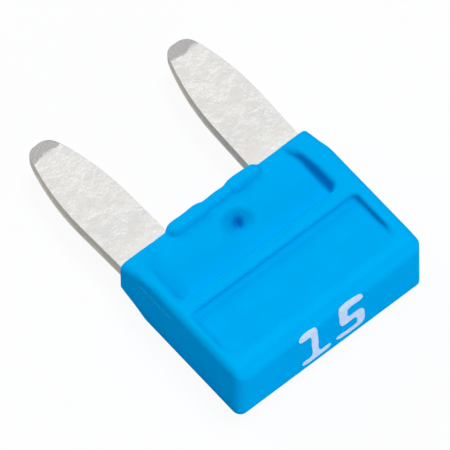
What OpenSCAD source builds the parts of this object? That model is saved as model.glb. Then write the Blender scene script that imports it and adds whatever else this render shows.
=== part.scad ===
// Small automotive blade fuse: a moulded housing on a one-piece stamped element.
// X runs across the width, Y points out of the blade side, Z is the normal of the front face.
// The origin is the middle of the housing's blade side, and the fuse lies on its back.

/* [Housing] */
// Width of the housing, across both blades
body_w = 10.9; // [10.6:0.1:12]
// Height of the housing, from its blade side to its head
body_h = 8.3; // [8.1:0.1:10]
// Full thickness of the housing
body_t = 3.8; // [3.6:0.1:4.6]
// Thickness of the housing at its blade side
neck_t = 2.3; // [2.1:0.05:2.5]
// Length over which the housing swells from the neck to its full thickness
flare_l = 1.65; // [1.2:0.05:2.4]
// Radius of the long edges between the faces and the sides
edge_r = 0.35; // [0.1:0.05:0.6]
// Radius of the edges between the faces and the head
head_r = 0.65; // [0.2:0.05:0.75]
// Radius of the corners between the head and the sides
corner_r = 0.5; // [0.2:0.05:0.9]
// Radius of the corners between the blade side and the sides
seat_r = 0.15; // [0.05:0.05:0.3]

/* [Face recesses] */
// Wall left at each side of the upper recess
upper_rim = 1.07; // [0.7:0.01:1.4]
// Length of the upper recess from the blade side
upper_l = 3.7; // [3.4:0.05:4.2]
// Depth of the upper recess below the face
upper_depth = 0.85; // [0.7:0.05:1.1]
// Width of the cross rib between the recesses
rib_w = 0.6; // [0.4:0.05:0.9]
// Wall left at each side of the lower recess
lower_rim = 0.71; // [0.5:0.01:1.1]
// Length of the lower recess, with its ramp
lower_l = 2.85; // [2:0.05:2.9]
// Depth of the lower recess below the face
lower_depth = 0.4; // [0.3:0.05:0.8]
// Length of the ramp at the head side of the lower recess
ramp_l = 0.9; // [0.2:0.05:1.2]
// Radius of the recesses' corners
recess_r = 0.28; // [0.15:0.01:0.5]

/* [Side relief] */
// How far the front half of each side steps in
relief_inset = 0.06; // [0.03:0.01:0.12]
// Where the step starts, from the blade side
relief_start = 1.4; // [1:0.05:2]
// Length of the step
relief_l = 2.2; // [1:0.05:3]
// Height of the ledge above the middle of the thickness
relief_z = 1; // [0.6:0.05:1.3]

/* [Staking] */
// Diameter of the punch mark
mark_d = 1.6; // [1:0.05:1.8]
// Depth of the punch mark
mark_depth = 0.4; // [0.15:0.05:0.5]
// Diameter of the punch point at the middle of the mark
point_d = 0.55; // [0.3:0.05:0.8]
// Depth of the punch point below the recess floor
point_depth = 0.85; // [0.6:0.05:0.9]
// Distance of the mark from the blade side
mark_y = 1.7; // [1.4:0.05:2]
// Radius of the lip pressed up along the blade side
lip_r = 0.45; // [0.3:0.05:0.5]
// How far the lip's centre line lies inside the blade side
lip_inset = 0.27; // [0.2:0.01:0.4]
// How far the lip's centre line lies below the recess floor
lip_sink = 0.14; // [0.05:0.01:0.2]
// Clearance between the link's arch and the web that parts the blades
web_gap = 0.8; // [0.5:0.05:1]

/* [Element] */
// Width of each blade
blade_w = 2.75; // [2.6:0.05:3]
// Thickness of the strip
blade_t = 0.8; // [0.6:0.05:0.85]
// Length of each blade outside the housing
blade_l = 7.45; // [6.5:0.05:8.5]
// How far each blade's outer edge lies inside the housing's side
blade_inset = 0.22; // [0.15:0.01:0.4]
// Angle at which each blade leans outwards
blade_splay = 1.7; // [0:0.1:2]
// Length of the tapered end
taper_l = 4.6; // [3.5:0.1:5.5]
// Radius of the taper's curved edges
taper_r = 13.5; // [12:0.5:20]
// Radius of the tip's corners
tip_r = 0.6; // [0.3:0.05:0.65]
// Length of the coined bevel at the tip
bevel_l = 0.75; // [0.4:0.05:1.2]
// Thickness of the tip's end
tip_t = 0.38; // [0.25:0.01:0.5]
// Depth of the mouth that takes a blade's full width
mouth_l = 0.3; // [0.2:0.05:0.6]
// Width taken off each blade's outer edge behind the mouth
shoulder_w = 0.5; // [0.4:0.05:0.7]
// Thickness of the strip inside the housing
plate_t = 0.7; // [0.5:0.05:0.75]
// Distance from the blade side to the inner end of the plates
plate_l = 3.9; // [3.5:0.05:4.1]
// Width of the fusible link
link_w = 0.55; // [0.3:0.05:0.8]
// Thickness of the fusible link
link_t = 0.35; // [0.2:0.05:0.5]
// How far the ends of the link run up into the plates
link_lap = 0.35; // [0.2:0.05:0.5]
// Clearance between the element and the housing
fit_gap = 0.04; // [0.02:0.01:0.06]
// Clearance beside a blade in its mouth
mouth_gap = 0.07; // [0.05:0.01:0.1]

/* [Hidden] */
$fn = 64;
past = 1;
half_w = body_w / 2;
half_t = body_t / 2;
reach = body_h + body_t;
flare_a = atan((half_t - neck_t / 2) / flare_l);
upper_floor = half_t - upper_depth;
lower_floor = half_t - lower_depth;
lower_top = upper_l + rib_w;
lower_end = lower_top + lower_l;
blade_x = half_w - blade_inset - blade_w / 2;
blade_in = blade_x - blade_w / 2;
plate_out = blade_x + blade_w / 2 - shoulder_w;
base_y = fit_gap + blade_w / 2 * sin(blade_splay);
link_out = blade_in + link_w;
link_y = plate_l - link_lap;
web_l = link_y - web_gap;
chamber_end = link_y + link_out + fit_gap;
tip_x = blade_w / 2 - taper_r + sqrt(pow(taper_r - tip_r, 2) - pow(taper_l - tip_r, 2));
// Lobes of the lip: place across the width, length and share of the lip's radius
lip_lobes = [[-1.7, 2.2, 1], [0.25, 2.6, 0.8], [1.8, 1.9, 1]];
// How a lobe thins: share of its length from its middle, and share of its radius there
lip_ends = [[0.5, 0], [0.5, 0.45], [0.4, 0.8], [0.25, 1]];

// A rectangle about the origin with four rounded corners
module rounded_rect(w, h, r) {
  square([w - 2 * r, h], center = true);
  square([w, h - 2 * r], center = true);
  for (side = [-1, 1], end = [-1, 1])
    translate([side * (w / 2 - r), end * (h / 2 - r)])
      circle(r);
}

// A bar along Y with rounded long edges
module bar(w, t, r, l) {
  rotate([90, 0, 0])
    linear_extrude(height = l, center = true)
      rounded_rect(w, t, r);
}

// Draws its children on the front face and again on the back face
module both_faces() {
  for (face = [0, 1])
    mirror([0, 0, face])
      children();
}

// All that lies below the sloping plane of the flare, with its edges rounded
module flare_bound() {
  translate([0, 0, neck_t / 2])
    rotate([-flare_a, 0, 0])
      translate([0, 0, -reach / 2])
        bar(body_w, reach, edge_r, 4 * reach);
}

// The housing's outer form, before its recesses
module blank() {
  intersection() {
    translate([0, -body_h / 2, 0])
      bar(body_w, body_t, edge_r, 2 * body_h);
    flare_bound();
    mirror([0, 0, 1])
      flare_bound();
    translate([0, past - body_h / 2, 0])
      linear_extrude(height = 2 * body_t, center = true)
        rounded_rect(body_w, body_h + 2 * past, corner_r);
    translate([0, -body_h, 0])
      linear_extrude(height = 2 * body_t, center = true)
        rounded_rect(body_w, 2 * body_h, seat_r);
    translate([0, -body_h / 2, 0])
      rotate([90, 0, 90])
        linear_extrude(height = 2 * body_w, center = true)
          rounded_rect(body_h, body_t, head_r);
  }
}

// The upper recess, open towards the blades
module upper_recess() {
  translate([0, -upper_l / 2 + past / 2, upper_floor])
    linear_extrude(height = upper_depth + past)
      rounded_rect(body_w - 2 * upper_rim, upper_l + past, recess_r);
}

// The lower recess, with a ramp up to the face at its head side
module lower_recess() {
  difference() {
    translate([0, -lower_top - lower_l / 2, lower_floor])
      linear_extrude(height = lower_depth + past)
        rounded_rect(body_w - 2 * lower_rim, lower_l, recess_r);
    rotate([90, 0, 90])
      linear_extrude(height = body_w, center = true)
        polygon([
          [-lower_end + ramp_l, lower_floor],
          [-lower_end, half_t],
          [-lower_end - past, half_t],
          [-lower_end - past, lower_floor - past],
          [-lower_end + ramp_l, lower_floor - past]
        ]);
  }
}

// The round mark left by the staking punch, with its deeper point
module punch_mark() {
  translate([0, -mark_y, upper_floor]) {
    translate([0, 0, -mark_depth])
      cylinder(h = mark_depth, d1 = point_d, d2 = mark_d);
    translate([0, 0, -point_depth])
      cylinder(h = point_depth, d1 = point_d / 4, d2 = point_d);
  }
}

// One lobe of the lip, a round bar along the blade side that thins towards its ends
module lip_lobe(at, l, r) {
  outline = [for (step = lip_ends) [step[1] * r, step[0] * l]];
  mirrored = [for (i = [len(outline) - 1 : -1 : 0]) [outline[i][0], -outline[i][1]]];
  translate([at, -lip_inset, upper_floor - lip_sink])
    rotate([0, 90, 0])
      rotate_extrude()
        polygon(concat(outline, mirrored));
}

// The step in the front half of one side
module side_relief() {
  translate([half_w - relief_inset, -relief_start - relief_l, relief_z])
    cube([past, relief_l, half_t]);
}

// The slots for the plates and the chamber round the link
module cavity() {
  inner = blade_in - fit_gap;
  outer = plate_out + fit_gap;
  linear_extrude(height = plate_t + 2 * fit_gap, center = true)
    difference() {
      translate([-outer, -chamber_end])
        square([2 * outer, chamber_end + past]);
      translate([-inner, -web_l])
        square([2 * inner, web_l + 2 * past]);
    }
}

// The mouths in the blade side that take the blades' full width
module mouths() {
  for (side = [-1, 1])
    translate([side * blade_x, (past - mouth_l) / 2, 0])
      cube([blade_w + 2 * mouth_gap, mouth_l + past, blade_t + 2 * fit_gap], center = true);
}

module housing() {
  color("deepskyblue")
    difference() {
      union() {
        difference() {
          blank();
          both_faces() {
            upper_recess();
            lower_recess();
          }
        }
        both_faces()
          for (lobe = lip_lobes)
            lip_lobe(lobe[0], lobe[1], lobe[2] * lip_r);
      }
      both_faces()
        punch_mark();
      for (side = [0, 1])
        mirror([side, 0, 0])
          side_relief();
      cavity();
      mouths();
    }
}

// The flat outline of one blade, from its shoulder to its tip; its root is at the origin
module blade_outline() {
  tangent_x = tip_x + tip_r * (tip_x - blade_w / 2 + taper_r) / (taper_r - tip_r);
  tangent_y = tip_r - tip_r * (taper_l - tip_r) / (taper_r - tip_r);
  translate([-blade_w / 2, -mouth_l])
    square([blade_w, blade_l - taper_l + mouth_l]);
  intersection() {
    translate([-blade_w / 2, blade_l - taper_l - past / 2])
      square([blade_w, taper_l - tangent_y + past / 2]);
    translate([blade_w / 2 - taper_r, blade_l - taper_l])
      circle(taper_r);
    translate([taper_r - blade_w / 2, blade_l - taper_l])
      circle(taper_r);
  }
  polygon([
    [-tangent_x, blade_l - tangent_y], [-tip_x, blade_l],
    [tip_x, blade_l], [tangent_x, blade_l - tangent_y]
  ]);
  for (side = [-1, 1])
    translate([side * tip_x, blade_l - tip_r])
      circle(tip_r);
}

// The edge-on profile of one blade, thinner at its shoulder and coined at its tip
module blade_profile() {
  polygon([
    [-mouth_l, -plate_t / 2], [0, -plate_t / 2], [0, -blade_t / 2], [blade_l - bevel_l, -blade_t / 2],
    [blade_l, -tip_t / 2], [blade_l, tip_t / 2],
    [blade_l - bevel_l, blade_t / 2], [0, blade_t / 2], [0, plate_t / 2], [-mouth_l, plate_t / 2]
  ]);
}

// One blade with the shoulder that sits in the housing's mouth
module blade() {
  intersection() {
    linear_extrude(height = 2 * blade_t, center = true)
      blade_outline();
    rotate([90, 0, 90])
      linear_extrude(height = 2 * blade_w, center = true)
        blade_profile();
  }
}

// The narrower plate that carries one blade on into the housing
module plate() {
  translate([blade_in, -plate_l, -plate_t / 2])
    cube([plate_out - blade_in, plate_l, plate_t]);
}

// The thin arch between the plates that melts on overload
module link() {
  translate([0, -link_y, -link_t / 2])
    linear_extrude(height = link_t)
      difference() {
        circle(link_out);
        circle(link_out - link_w);
        translate([-body_w, 0])
          square([2 * body_w, body_w]);
      }
}

module fuse_element() {
  color("silver")
    union() {
      for (side = [0, 1])
        mirror([side, 0, 0]) {
          plate();
          translate([blade_x, base_y, 0])
            rotate([0, 0, -blade_splay])
              blade();
        }
      link();
    }
}

housing();
fuse_element();
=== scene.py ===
import math

import bmesh
import bpy
import numpy as np
from mathutils import Matrix, Vector


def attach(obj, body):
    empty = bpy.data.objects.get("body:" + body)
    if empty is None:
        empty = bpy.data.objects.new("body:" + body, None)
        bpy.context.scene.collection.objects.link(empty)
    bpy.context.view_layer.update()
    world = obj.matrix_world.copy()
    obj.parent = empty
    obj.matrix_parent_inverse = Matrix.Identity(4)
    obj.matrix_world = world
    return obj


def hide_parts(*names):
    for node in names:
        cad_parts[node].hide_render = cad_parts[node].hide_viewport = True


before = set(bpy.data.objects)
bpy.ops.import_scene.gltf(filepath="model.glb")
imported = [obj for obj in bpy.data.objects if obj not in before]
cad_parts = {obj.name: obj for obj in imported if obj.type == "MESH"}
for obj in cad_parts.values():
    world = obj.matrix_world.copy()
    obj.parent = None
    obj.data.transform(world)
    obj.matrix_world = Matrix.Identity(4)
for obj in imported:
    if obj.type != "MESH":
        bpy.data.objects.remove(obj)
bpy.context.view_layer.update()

# All sizes below are in millimetres in the CAD's frame; MM turns them into metres.
# A name that ends in _R is a radius, and a draft is a wall's lean in radians.
MM = 0.001

# Camera, fitted to the photograph's outlines; angles in degrees
AZIMUTH, ELEVATION, ROLL = -39.523, 61.249, -0.62
DISTANCE = 600.0
FOCAL_PX, IMAGE_PX, SENSOR = 13350.0, 450, 36.0
AIM = (0.0, -0.415, 0.0)
AIM_RIGHT, AIM_UP = 0.281, -0.497

# Housing: main sizes, edges, the front margin's fall, and the sides and seat at the blade side
HALF_W, HEIGHT, HALF_T, HALF_NECK, FLARE = 5.45, 8.3, 1.9, 1.06, 1.65
EDGE_R, HEAD_R, BASE_R, CORNER_R, SEAT_R, BROW_R = 0.42, 0.55, 0.5, 0.6, 0.03, 0.35
HEAD_DRAFT, CROWN, CROWN_START = 0.015, 0.12, 7.0
MOUTH_FLARE, MOUTH_L, SEAT_SINK = 0.05, 1.3, 0.03

# Upper recess: at the blade side it narrows and its top edge gets sharper; a fuller foot on the left
UPPER_X, UPPER_END, UPPER_Z, UPPER_R = 4.21, 3.50, 1.05, 0.35
PINCH, PINCH_START = 0.15, 1.3
UPPER_EDGE_R, SHARPER_BY, SHARPER_L = 0.22, 0.19, 0.9
UPPER_FOOT_R, FULLER_BY, FULLER_X = 0.2, 0.25, 3.0

# Lower recess with its ramp, and the drafts of both recesses' walls
LOWER_X, LOWER_START, LOWER_END, LOWER_Z, RAMP = 4.68, 4.34, 7.12, 1.5, 0.6
LOWER_R, LOWER_EDGE_R, LOWER_FOOT_R, RAMP_R = 0.28, 0.13, 0.18, 0.35
RIGHT_DRAFT, LEFT_DRAFT, RIB_DRAFT, LOWER_DRAFT = 0.13, 0.7, 0.1, 0.18

# Stepped relief in each side; LEDGE is half the height of the step at its lower edge
RELIEF, RELIEF_START, RELIEF_END, RELIEF_Z, RELIEF_R = 0.03, 1.4, 3.6, 1.0, 0.008
LEDGE, FLAT_FROM_Z, FLAT_MARGIN = 0.03, 0.8, 0.08
SIDE_X, SIDE_FLAT_X, SIDE_BAND = 5.2, 5.3, 0.4
# The next two sizes bound the thin line along each ledge that is painted lighter as a painted
# highlight: its half height and its reach into the side
LEDGE_HIGHLIGHT_HALF, LEDGE_HIGHLIGHT_DEPTH = 0.042, 0.15

# Punch mark: a shallow bowl, and in it a narrow point whose walls are kept between two heights
MARK_X, MARK_Y, MARK_R, MARK_DEPTH, MARK_EDGE_R = 0.04, 1.80, 0.82, 0.6, 0.10
BOWL_SLOPE, BOWL_RIM, FINE_REACH = 0.85, 0.1, 0.95
POINT_X, POINT_Y, POINT_Z, POINT_FLARE, POINT_EDGE_R = 0.12, 1.62, -0.05, 0.34, 0.08
POINT_REACH, POINT_LOW, POINT_HIGH = 0.17, 0.03, 0.6

# Pressed lip: each lobe is a radius, a middle, a half length and how abruptly it ends
LIP_Y, LIP_Z, LIP_END_X, LIP_BLEND_R = -0.20, 0.886, 3.4, 0.06
LOBES = ((0.44, -1.62, 1.22, 7), (0.44, 1.62, 1.0, 7), (0.36, 0.2, 1.9, 6))
LOBE_POWER = 8
RIPPLE, RIPPLE_WAVES, RIPPLE_PHASE = 0.010, 5.1, 0.6

# Remesh of the housing: voxels, settling on the form, smoothing, and the boxes that fill the
# inside, each as x from and to and y from and to
VOXEL, WELD = 0.064, 0.0005
SETTLE_STEPS, NUDGE, LEAST_SLOPE, MOST_STEP = 4, 0.004, 0.25, 0.08
EASE_TIMES = (4, 2)
FILL_BOXES = ((-5.2, 5.2, -7.3, -2.6), (-5.2, -2.3, -2.7, -0.02), (2.3, 5.2, -2.7, -0.02))
FILL_HALF = 0.42

# Blades: place, lean in degrees and length, the coined tip, and how the plating varies along them
BLADE_X, BLADE_SPLAY, BLADE_L, BEVEL_L = 3.855, 1.7, 7.45, 0.75
WAVER, TIP_SHIFT, ROOT_L = 0.9, 0.12, 1.6

# Outlines of the rating number on the head, as x and z
ONE = [(-1.88, 1.36), (-1.76, 1.45), (-1.05, 1.47), (-0.94, 1.43), (-0.89, 1.30), (-0.85, 0.80),
       (-0.81, 0.20), (-0.77, -0.64), (-0.68, -0.80), (-0.25, -0.81), (-0.12, -0.88), (-0.10, -1.02),
       (-0.20, -1.13), (-0.40, -1.16), (-1.60, -1.16), (-1.72, -1.08), (-1.76, -0.95), (-1.68, -0.83),
       (-1.26, -0.81), (-1.18, -0.72), (-1.20, 0.20), (-1.24, 0.90), (-1.31, 1.01), (-1.55, 1.02),
       (-1.74, 1.05), (-1.86, 1.13), (-1.91, 1.25)]
FIVE = [(0.44, 1.40), (0.55, 1.47), (1.55, 1.47), (1.72, 1.41), (1.79, 1.28), (1.79, 1.17),
        (1.72, 1.08), (1.55, 1.05), (1.03, 1.05), (0.91, 0.97), (0.88, 0.70), (0.90, 0.44),
        (1.02, 0.31), (1.50, 0.31), (1.66, 0.26), (1.78, 0.12), (1.86, -0.06), (1.88, -0.30),
        (1.88, -0.84), (1.82, -1.02), (1.65, -1.13), (1.40, -1.16), (0.72, -1.15), (0.45, -1.10),
        (0.30, -1.02), (0.22, -0.91), (0.26, -0.82), (0.40, -0.79), (1.29, -0.82), (1.43, -0.76),
        (1.46, -0.52), (1.42, -0.29), (1.31, -0.19), (0.75, -0.20), (0.60, -0.14), (0.50, 0.01),
        (0.45, 0.25), (0.43, 0.70)]
PRINT_RISE, PRINT_WELD, PRINT_CUTS = 0.012, 0.002, (-1.3, 1.5, 0.1)
PRINT_STEPS, PRINT_MOST_STEP = 12, 0.2

# Colours, as linear red, green and blue
# The third plastic colour is a painted highlight on the thin line along each ledge
PLASTIC_DEEP, PLASTIC_PALE, PLASTIC_LEDGE_HIGHLIGHT = (0.0, 0.375, 0.775), (0.0, 0.393, 0.805), (0.02, 0.52, 0.92)
PLASTIC_SHINE = (0.0, 0.6, 1.0)
INK_THIN, INK_FULL = (0.50, 0.66, 0.86), (0.62, 0.76, 0.92)
TIN_DULL, TIN_PALE, TIN_FLECK = (0.53, 0.52, 0.485), (0.61, 0.60, 0.565), (0.95, 0.95, 0.95)
TIN_TIP, TIN_ROOT = (0.37, 0.36, 0.345), (0.72, 0.66, 0.56)
# The cut edges turn from the first colour to the second towards their lower side; the second is a
# painted reflection of the white floor
CUT_DARK, CUT_FLOOR_REFLECTION = (0.42, 0.38, 0.29), (0.66, 0.60, 0.45)
PAPER, SKY, WHITE = (0.74, 0.77, 0.85), (0.5, 0.58, 1.0), (1.0, 1.0, 1.0)

# Stage: the floor, and lamps as a direction, a strength and a spread in degrees
FLOOR_HALF, FLOOR_GAP, FLOOR_GLOW = 1500.0, 0.01, 0.94
LAMPS = {"key": ((0.22, 0.05, 1.0), 2.20, 20), "fill": ((0.08, -1.0, 0.17), 1.9, 40),
         "back": ((-0.16, 1.0, 0.5), 1.25, 40)}
SKY_STRENGTH = 0.13


def both(a, b, r):
    """Where both forms are, with the edge where they meet rounded to r."""
    return np.minimum(-r, np.maximum(a, b)) + np.hypot(np.maximum(a + r, 0), np.maximum(b + r, 0))


def either(a, b, r):
    """Where either form is, with the inner edge where they meet filled to r."""
    return np.maximum(r, np.minimum(a, b)) - np.hypot(np.maximum(r - a, 0), np.maximum(r - b, 0))


def smooth(t):
    """Rises gently from 0 to 1 as t does, and stays at its ends beyond."""
    t = np.clip(t, 0, 1)
    return t * t * (3 - 2 * t)


def tilted(across, up, lean):
    """A wall that leans outwards by the given angle as it rises; minus is on its inner side."""
    return across * np.cos(lean) - up * np.sin(lean)


def outer_form(x, y, z):
    """The housing's outside: faces that thin towards the neck, head, sides and seat."""
    head = -y - HEIGHT + HEAD_DRAFT * z
    lean = math.atan((HALF_T - HALF_NECK) / FLARE)
    crown = np.where(z > 0, CROWN * np.maximum(-y - CROWN_START, 0) ** 2, 0)
    flare = (np.abs(z) - HALF_NECK) * math.cos(lean) + y * math.sin(lean)
    faces = both(np.abs(z) - HALF_T + crown, flare, BROW_R)
    body = both(faces, head, np.where(z > 0, HEAD_R, BASE_R))
    side = np.abs(x) - HALF_W - MOUTH_FLARE * smooth(1 + y / MOUTH_L)
    body = both(body, side, EDGE_R)
    body = np.maximum(body, both(side, head, CORNER_R))
    return both(body, y + SEAT_SINK, SEAT_R)


def wall_draft(x):
    return np.where(x > 0, RIGHT_DRAFT, LEFT_DRAFT)


def upper_recess(x, y, z):
    """The recess above the rib, which runs out through the blade side."""
    depth = np.abs(z) - UPPER_Z
    width = UPPER_X - PINCH * smooth(y + PINCH_START)
    walls = both(tilted(np.abs(x) - width, depth, wall_draft(x)),
                 tilted(-y - UPPER_END, depth, RIB_DRAFT), UPPER_R)
    return both(walls, UPPER_Z - np.abs(z), UPPER_FOOT_R + FULLER_BY * smooth(-x - FULLER_X))


def lower_recess(x, y, z):
    """The recess below the rib, with a ramp up towards the head."""
    depth = np.abs(z) - LOWER_Z
    walls = both(tilted(np.abs(x) - LOWER_X, depth, wall_draft(x)),
                 tilted(y + LOWER_START, depth, LOWER_DRAFT), LOWER_R)
    dish = both(walls, LOWER_Z - np.abs(z), LOWER_FOOT_R)
    ramp_lean = math.atan(RAMP / (HALF_T - LOWER_Z))
    return both(dish, tilted(-y - LOWER_END + RAMP, depth, ramp_lean), RAMP_R)


def side_relief(x, y, z):
    """The stepped relief in each side, above its ledge."""
    return np.maximum(np.maximum(HALF_W - RELIEF - np.abs(x), RELIEF_Z - z),
                      np.maximum(y + RELIEF_START, -y - RELIEF_END))


def lip_form(x, y, z):
    """The pressed lip along the blade side: two lobes with a thinner stretch between."""
    lobes = [r * np.exp(-np.abs((x - at) / half) ** power) for r, at, half, power in LOBES]
    radius = sum(lobe ** LOBE_POWER for lobe in lobes) ** (1 / LOBE_POWER)
    radius = radius + RIPPLE * np.sin(RIPPLE_WAVES * x + RIPPLE_PHASE)
    return np.hypot(y - LIP_Y, np.abs(z) - LIP_Z) - radius


def punch_bowl(x, y, z):
    """The shallow cone of the punch mark."""
    out = np.hypot(x - MARK_X, y + MARK_Y)
    rise = UPPER_Z - MARK_DEPTH * (1 - out / MARK_R) - np.abs(z)
    return np.maximum(rise * BOWL_SLOPE, out - MARK_R - BOWL_RIM)


def punch_point(x, y, z):
    """The narrow, deeper point of the punch mark."""
    return tilted(np.hypot(x - POINT_X, y + POINT_Y), np.abs(z) - POINT_Z, math.atan(POINT_FLARE))


def housing_form(p):
    """Signed distance, near the surface, from the moulded housing; minus is inside."""
    at = p[:, 0], p[:, 1], p[:, 2]
    x, y = at[:2]
    edge_r = UPPER_EDGE_R - SHARPER_BY * smooth((y + SHARPER_L) / SHARPER_L)
    body = both(outer_form(*at), -upper_recess(*at), edge_r)
    body = both(body, -lower_recess(*at), LOWER_EDGE_R)
    body = both(body, -side_relief(*at), RELIEF_R)
    body = np.where(np.abs(x) < LIP_END_X, either(body, lip_form(*at), LIP_BLEND_R), body)
    body = both(body, -punch_bowl(*at), MARK_EDGE_R)
    return both(body, -punch_point(*at), POINT_EDGE_R)


def settle(p):
    """Moves points along the form's slope until they lie on its surface."""
    for _ in range(SETTLE_STEPS):
        slope = np.stack([(housing_form(p + d) - housing_form(p - d)) / (2 * NUDGE)
                          for d in NUDGE * np.eye(3)], 1)
        size = np.maximum((slope ** 2).sum(1), LEAST_SLOPE)
        step = housing_form(p)[:, None] * slope / size[:, None]
        p = p - np.clip(step, -MOST_STEP, MOST_STEP)
    return p


def settle_mesh(mesh):
    """Moves a mesh's vertices onto the form's surface."""
    co = np.zeros(len(mesh.vertices) * 3)
    mesh.vertices.foreach_get("co", co)
    mesh.vertices.foreach_set("co", settle(co.reshape(-1, 3)).ravel())


def evaluated_mesh(obj):
    """A new mesh with the object's curves or modifiers worked out."""
    bpy.context.view_layer.update()
    return bpy.data.meshes.new_from_object(obj.evaluated_get(bpy.context.evaluated_depsgraph_get()))


def apply_modifiers(obj):
    mesh = evaluated_mesh(obj)
    obj.modifiers.clear()
    obj.data = mesh


def linked(name, data):
    """A new object in the scene."""
    obj = bpy.data.objects.new(name, data)
    bpy.context.scene.collection.objects.link(obj)
    return obj


def refine_marks(mesh):
    """Finer faces round the punch marks, with the points' walls drawn onto their cones."""
    work = bmesh.new()
    work.from_mesh(mesh)
    marks = [e for e in work.edges
             if math.hypot(e.verts[0].co.x - MARK_X, e.verts[0].co.y + MARK_Y) < FINE_REACH]
    bmesh.ops.subdivide_edges(work, edges=marks, cuts=1, use_grid_fill=True)
    for vert in work.verts:
        reach = math.hypot(vert.co.x - POINT_X, vert.co.y + POINT_Y)
        depth = max(POINT_Z + reach / POINT_FLARE, POINT_LOW)
        if reach < POINT_REACH and depth < abs(vert.co.z) < POINT_HIGH:
            vert.co.z = math.copysign(depth, vert.co.z)
    work.to_mesh(mesh)
    work.free()
    settle_mesh(mesh)


def refine_sides(mesh):
    """A clean, sharp step at the lower edge of the side reliefs."""
    work = bmesh.new()
    work.from_mesh(mesh)
    for level in (RELIEF_Z - LEDGE, RELIEF_Z + LEDGE):
        side = [f for f in work.faces
                if abs(f.verts[0].co.x) > SIDE_X and abs(f.verts[0].co.z - RELIEF_Z) < SIDE_BAND]
        parts = dict.fromkeys(side)
        for face in side:
            parts.update(dict.fromkeys([*face.edges, *face.verts]))
        cut = bmesh.ops.bisect_plane(work, geom=list(parts), plane_co=(0, 0, level), plane_no=(0, 0, 1))
        for edge in (e for e in cut["geom_cut"] if isinstance(e, bmesh.types.BMEdge)):
            edge.smooth = not all(-RELIEF_END < v.co.y < -RELIEF_START for v in edge.verts)
    top = HALF_T - EDGE_R - FLAT_MARGIN
    for vert in work.verts:
        x, y, z = vert.co
        if abs(x) > SIDE_FLAT_X and -RELIEF_END < y < -RELIEF_START and FLAT_FROM_Z < z < top:
            vert.co.x = math.copysign(HALF_W - (RELIEF if z > RELIEF_Z else 0), x)
    work.to_mesh(mesh)
    work.free()


def housing_body():
    """The housing as it is moulded: the CAD form with soft edges, fillets, lip and punch mark."""
    made = bmesh.new()
    made.from_mesh(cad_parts["housing"].data)
    bmesh.ops.scale(made, vec=Vector((1, 1, 1)) / MM, verts=made.verts)
    bmesh.ops.remove_doubles(made, verts=made.verts, dist=WELD)
    for x0, x1, y0, y1 in FILL_BOXES:
        low, high = Vector((x0, y0, -FILL_HALF)), Vector((x1, y1, FILL_HALF))
        fill = Matrix.Translation((low + high) / 2) @ Matrix.Diagonal((high - low).to_4d())
        bmesh.ops.create_cube(made, size=1, matrix=fill)
    mesh = bpy.data.meshes.new("housing_body")
    made.to_mesh(mesh)
    made.free()
    body = linked("housing_body", mesh)
    remesh = body.modifiers.new("remesh", "REMESH")
    remesh.mode = "VOXEL"
    remesh.voxel_size = VOXEL
    apply_modifiers(body)
    for times in EASE_TIMES:
        ease = body.modifiers.new("ease", "SMOOTH")
        ease.iterations = times
        apply_modifiers(body)
        settle_mesh(body.data)
    refine_marks(body.data)
    refine_sides(body.data)
    body.data.transform(Matrix.Scale(MM, 4))
    for polygon in body.data.polygons:
        polygon.use_smooth = True
    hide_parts("housing")
    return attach(body or body, "root")


def flat_number():
    """The rating number as a flat mesh."""
    curve = bpy.data.curves.new("rating_number", "CURVE")
    curve.dimensions = "2D"
    curve.fill_mode = "BOTH"
    curve.resolution_u = 5
    for outline in (ONE, FIVE):
        spline = curve.splines.new("BEZIER")
        spline.bezier_points.add(len(outline) - 1)
        spline.use_cyclic_u = True
        for knot, (x, z) in zip(spline.bezier_points, outline):
            knot.co = (x, z, 0)
            knot.handle_left_type = knot.handle_right_type = "AUTO"
    flat = linked("flat_number", curve)
    mesh = evaluated_mesh(flat)
    bpy.data.objects.remove(flat)
    mesh.name = "rating_number"
    return mesh


def rating_number():
    """The number printed on the head, as a thin layer of ink that follows the head's rounding."""
    mesh = flat_number()
    work = bmesh.new()
    work.from_mesh(mesh)
    bmesh.ops.remove_doubles(work, verts=work.verts, dist=PRINT_WELD)
    for at in np.arange(*PRINT_CUTS):
        everything = work.verts[:] + work.edges[:] + work.faces[:]
        bmesh.ops.bisect_plane(work, geom=everything, plane_co=(0, at, 0), plane_no=(0, 1, 0))
    raised = bmesh.ops.extrude_face_region(work, geom=work.faces[:])
    for vert in (v for v in raised["geom"] if isinstance(v, bmesh.types.BMVert)):
        vert.co.z = 1
    bmesh.ops.recalc_face_normals(work, faces=work.faces)
    verts = np.array([tuple(v.co) for v in work.verts])
    points = np.stack([verts[:, 0], np.full(len(verts), -HEIGHT), verts[:, 1]], 1)
    for _ in range(PRINT_STEPS):
        points[:, 1] += np.clip(housing_form(points), -PRINT_MOST_STEP, PRINT_MOST_STEP)
    points[:, 1] -= np.where(verts[:, 2] > 0.5, PRINT_RISE, -PRINT_RISE)
    for vert, at in zip(work.verts, points):
        vert.co = at
    work.to_mesh(mesh)
    work.free()
    mesh.transform(Matrix.Scale(MM, 4))
    number = linked("rating_number", mesh)
    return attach(number, "root")


def material(name):
    """A new node material with its shader, ready to be wired."""
    made = bpy.data.materials.new(name)
    made.use_nodes = True
    return made, made.node_tree, made.node_tree.nodes["Principled BSDF"]


def plug(tree, slot, value):
    """Feeds an input from another node's output, or with a number or a colour."""
    if isinstance(value, bpy.types.NodeSocket):
        tree.links.new(value, slot)
    else:
        slot.default_value = (*value, 1) if isinstance(value, tuple) else value


def node(tree, kind, **values):
    """A new node, with its inputs and its settings given by their names."""
    made = tree.nodes.new(kind)
    for key, value in values.items():
        if key in made.inputs:
            plug(tree, made.inputs[key], value)
        else:
            setattr(made, key, value)
    return made


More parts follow.
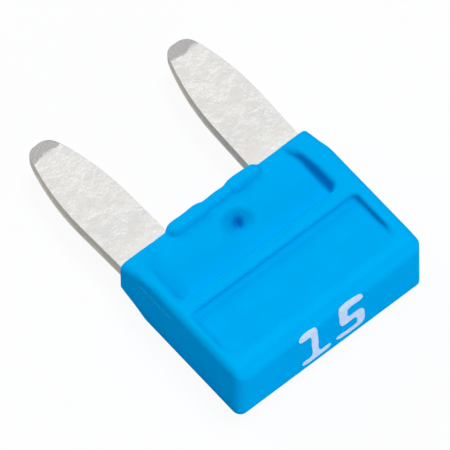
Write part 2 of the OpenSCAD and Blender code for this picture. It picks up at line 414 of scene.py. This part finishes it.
def calc(tree, kind, *values):
    """The result of a calculation of the given kind with numbers or other nodes' outputs."""
    made = node(tree, "ShaderNodeMath", operation=kind)
    for slot, value in zip(made.inputs, values):
        plug(tree, slot, value)
    return made.outputs[0]


def remap(tree, value, low=0.0, high=1.0, to_low=0.0, to_high=1.0):
    """The value with its span from low to high drawn out to another one, and held at its ends."""
    made = node(tree, "ShaderNodeMapRange", Value=value)
    for name, limit in zip(("From Min", "From Max", "To Min", "To Max"), (low, high, to_low, to_high)):
        made.inputs[name].default_value = limit
    return made.outputs["Result"]


def mix(tree, factor, a, b, kind="MIX"):
    """Two colours blended by a factor."""
    made = node(tree, "ShaderNodeMix", data_type="RGBA", blend_type=kind)
    for name, value in (("Factor", factor), ("A", a), ("B", b)):
        plug(tree, made.inputs[name], value)
    return made.outputs["Result"]


def ramp(tree, value, *stops):
    """The colour that a ramp gives for the value; each stop is a place and a colour."""
    made = node(tree, "ShaderNodeValToRGB", Fac=value)
    for element, (at, colour) in zip(made.color_ramp.elements, stops):
        element.position = at
        element.color = (*colour, 1)
    return made.outputs["Color"]


def noise(tree, scale, detail, roughness):
    """A noise in the object's own space; scale is in waves per millimetre."""
    place = tree.nodes.new("ShaderNodeTexCoord")
    shrink = node(tree, "ShaderNodeMapping", Vector=place.outputs["Object"])
    shrink.inputs["Scale"].default_value = [1 / MM] * 3
    made = node(tree, "ShaderNodeTexNoise", Scale=scale, Detail=detail, Roughness=roughness,
                Vector=shrink.outputs["Vector"])
    return made.outputs["Fac"]


def split(tree, vector):
    """The x, y and z of a vector."""
    made = node(tree, "ShaderNodeSeparateXYZ", Vector=vector)
    return made.outputs["X"], made.outputs["Y"], made.outputs["Z"]


def own_space(tree):
    """The x, y and z of the object's own space."""
    return split(tree, tree.nodes.new("ShaderNodeTexCoord").outputs["Object"])


def add_bumps(tree, shader, height, strength, depth, under=None):
    """Small bumps on the shader; depth is in millimetres, and under is the normal beneath them."""
    made = node(tree, "ShaderNodeBump", Strength=strength, Distance=depth * MM, Height=height)
    if under:
        tree.links.new(under, made.inputs["Normal"])
    tree.links.new(made.outputs["Normal"], shader.inputs["Normal"])


def shows_background(tree):
    """One for the rays that show the background: the camera's, off metal and through glass."""
    path = tree.nodes.new("ShaderNodeLightPath")
    seen = calc(tree, "MAXIMUM", path.outputs["Is Camera Ray"], path.outputs["Is Glossy Ray"])
    return calc(tree, "MAXIMUM", seen, path.outputs["Is Transmission Ray"])


def ledge_highlight_mask(tree):
    """One on the thin line along the ledge in each side, where a painted highlight goes, and nought
    elsewhere.
    """
    x, y, z = own_space(tree)
    above = calc(tree, "ABSOLUTE", calc(tree, "SUBTRACT", z, RELIEF_Z * MM))
    along = calc(tree, "ABSOLUTE", calc(tree, "ADD", y, (RELIEF_START + RELIEF_END) / 2 * MM))
    near = calc(tree, "LESS_THAN", above, LEDGE_HIGHLIGHT_HALF * MM)
    within = calc(tree, "LESS_THAN", along, (RELIEF_END - RELIEF_START) / 2 * MM)
    outer = calc(tree, "GREATER_THAN", calc(tree, "ABSOLUTE", x), (HALF_W - LEDGE_HIGHLIGHT_DEPTH) * MM)
    return calc(tree, "MULTIPLY", calc(tree, "MULTIPLY", near, within), outer)


def plastic():
    """Light blue moulded plastic: even, saturated, with a fine satin grain, and a painted highlight on
    a thin line along the ledge in each side.
    """
    made, tree, shader = material("housing_plastic")
    tint = ramp(tree, noise(tree, 0.9, 4.0, 0.55), (0.3, PLASTIC_DEEP), (0.7, PLASTIC_PALE))
    # The line along each ledge is painted lighter: a painted highlight
    plug(tree, shader.inputs["Base Color"], mix(tree, ledge_highlight_mask(tree), tint, PLASTIC_LEDGE_HIGHLIGHT))
    plug(tree, shader.inputs["Metallic"], 0.03)
    plug(tree, shader.inputs["Specular IOR Level"], 0.0)
    plug(tree, shader.inputs["Specular Tint"], PLASTIC_SHINE)
    sheen = remap(tree, noise(tree, 2.2, 3.0, 0.6), to_low=0.42, to_high=0.56)
    plug(tree, shader.inputs["Roughness"], sheen)
    add_bumps(tree, shader, noise(tree, 14.0, 3.0, 0.6), 0.12, 0.01)
    return made


def ink():
    """White pad-printed ink, a little thin in places."""
    made, tree, shader = material("printed_ink")
    cover = noise(tree, 4.5, 3.0, 0.6)
    plug(tree, shader.inputs["Base Color"], ramp(tree, cover, (0.3, INK_THIN), (0.65, INK_FULL)))
    plug(tree, shader.inputs["Roughness"], 0.6)
    plug(tree, shader.inputs["Specular IOR Level"], 0.2)
    add_bumps(tree, shader, cover, 0.2, 0.01)
    return made


def along_blade(tree, x, y):
    """How far along its own leaning blade a point lies."""
    lean = math.radians(BLADE_SPLAY)
    beside = calc(tree, "SUBTRACT", calc(tree, "ABSOLUTE", x), BLADE_X * MM)
    return calc(tree, "ADD", calc(tree, "MULTIPLY", y, math.cos(lean)),
                calc(tree, "MULTIPLY", beside, math.sin(lean)))


def plated():
    """Tin-plated strip: pale and mottled, with darker coined tips, warmer roots, and cut edges that
    turn paler towards their lower side as a painted reflection of the white floor.
    """
    made, tree, shader = material("plated_strip")
    x, y, z = own_space(tree)
    blotch = noise(tree, 1.5, 5.0, 0.62)
    speck = noise(tree, 5.5, 6.0, 0.7)
    waver = calc(tree, "MULTIPLY", calc(tree, "SUBTRACT", blotch, 0.5), WAVER * MM)
    place = calc(tree, "ADD", along_blade(tree, x, y), waver)

    cloud = ramp(tree, blotch, (0.32, TIN_DULL), (0.68, TIN_PALE))
    fleck = ramp(tree, speck, (0.36, TIN_FLECK), (0.62, WHITE))
    face = mix(tree, 1.0, cloud, fleck, "MULTIPLY")
    past = calc(tree, "SUBTRACT", place, (BLADE_L - BEVEL_L + TIP_SHIFT) * MM)
    face = mix(tree, remap(tree, past, -0.02 * MM, 0.04 * MM), face, TIN_TIP)
    face = mix(tree, remap(tree, place, ROOT_L * MM, 0.0, to_high=0.5), face, TIN_ROOT)

    facing = split(tree, tree.nodes.new("ShaderNodeNewGeometry").outputs["Normal"])[2]
    on_edge = calc(tree, "LESS_THAN", calc(tree, "ABSOLUTE", facing), 0.5)
    # The cut edges are painted paler towards their lower side, with a wavering boundary: a painted
    # reflection of the white floor
    floor_reflection = remap(tree, calc(tree, "ADD", z, waver), -0.02 * MM, -0.3 * MM)
    edge = ramp(tree, floor_reflection, (0.25, CUT_DARK), (0.8, CUT_FLOOR_REFLECTION))
    plug(tree, shader.inputs["Base Color"], mix(tree, on_edge, face, edge))
    plug(tree, shader.inputs["Metallic"], 0.15)
    plug(tree, shader.inputs["Roughness"], remap(tree, speck, to_low=0.5, to_high=0.34))

    soft = node(tree, "ShaderNodeBevel", samples=6, Radius=0.03 * MM)
    height = calc(tree, "MULTIPLY", speck, remap(tree, blotch, 0.42, 0.62))
    add_bumps(tree, shader, height, 0.55, 0.03, soft.outputs["Normal"])
    return made


def wear(obj, made):
    """Makes the material the object's only one."""
    obj.data.materials.clear()
    obj.data.materials.append(made)


def floor():
    """A white sheet under the fuse that keeps a faint shadow."""
    mesh = bpy.data.meshes.new("floor")
    half = FLOOR_HALF * MM
    level = -(HALF_T + FLOOR_GAP) * MM
    corners = [(-half, -half, level), (half, -half, level), (half, half, level), (-half, half, level)]
    mesh.from_pydata(corners, [], [(0, 1, 2, 3)])
    sheet = linked("floor", mesh)
    made = bpy.data.materials.new("floor")
    made.use_nodes = True
    tree = made.node_tree
    tree.nodes.clear()
    out = tree.nodes.new("ShaderNodeOutputMaterial")
    paper = node(tree, "ShaderNodeBsdfDiffuse", Color=PAPER)
    glow = node(tree, "ShaderNodeEmission", Color=WHITE, Strength=1.0)
    pale = node(tree, "ShaderNodeMixShader", Fac=FLOOR_GLOW)
    tree.links.new(paper.outputs[0], pale.inputs[1])
    tree.links.new(glow.outputs[0], pale.inputs[2])
    choose = node(tree, "ShaderNodeMixShader", Fac=shows_background(tree))
    tree.links.new(paper.outputs[0], choose.inputs[1])
    tree.links.new(pale.outputs[0], choose.inputs[2])
    tree.links.new(choose.outputs[0], out.inputs["Surface"])
    sheet.data.materials.append(made)


def lights():
    """Three lamps and a faint blue sky, in front of a white background."""
    for name, (towards, strength, spread) in LAMPS.items():
        lamp = bpy.data.lights.new(name, "SUN")
        lamp.energy = strength
        lamp.angle = math.radians(spread)
        linked(name, lamp).rotation_euler = Vector(towards).to_track_quat("Z", "Y").to_euler()
    world = bpy.data.worlds.new("studio")
    world.use_nodes = True
    tree = world.node_tree
    sky = tree.nodes["Background"]
    plug(tree, sky.inputs["Color"], SKY)
    plug(tree, sky.inputs["Strength"], SKY_STRENGTH)
    white = node(tree, "ShaderNodeBackground", Color=WHITE, Strength=1.0)
    choose = node(tree, "ShaderNodeMixShader", Fac=shows_background(tree))
    tree.links.new(sky.outputs[0], choose.inputs[1])
    tree.links.new(white.outputs[0], choose.inputs[2])
    tree.links.new(choose.outputs[0], tree.nodes["World Output"].inputs["Surface"])
    bpy.context.scene.world = world


def camera():
    """The photograph's camera, turned and moved in its own plane after it is aimed."""
    azimuth, elevation, roll = (math.radians(v) for v in (AZIMUTH, ELEVATION, ROLL))
    back = Vector((math.sin(azimuth) * math.cos(elevation), -math.cos(azimuth) * math.cos(elevation),
                   math.sin(elevation)))
    level = Vector((0, 0, 1)).cross(back).normalized()
    rise = back.cross(level)
    right = math.cos(roll) * level + math.sin(roll) * rise
    up = -math.sin(roll) * level + math.cos(roll) * rise
    lens = bpy.data.cameras.new("camera")
    lens.sensor_width = SENSOR
    lens.lens = FOCAL_PX * SENSOR / IMAGE_PX
    lens.clip_start, lens.clip_end = 0.01, 10
    at = Vector(AIM) + right * AIM_RIGHT + up * AIM_UP + back * DISTANCE
    turn = Matrix((right, up, back)).transposed().to_4x4()
    obj = linked("camera", lens)
    obj.matrix_world = Matrix.Translation(at * MM) @ turn
    bpy.context.scene.camera = obj


wear(housing_body(), plastic())
wear(rating_number(), ink())
wear(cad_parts["fuse_element"], plated())
floor()
lights()
camera()
bpy.context.scene.view_settings.view_transform = "Standard"
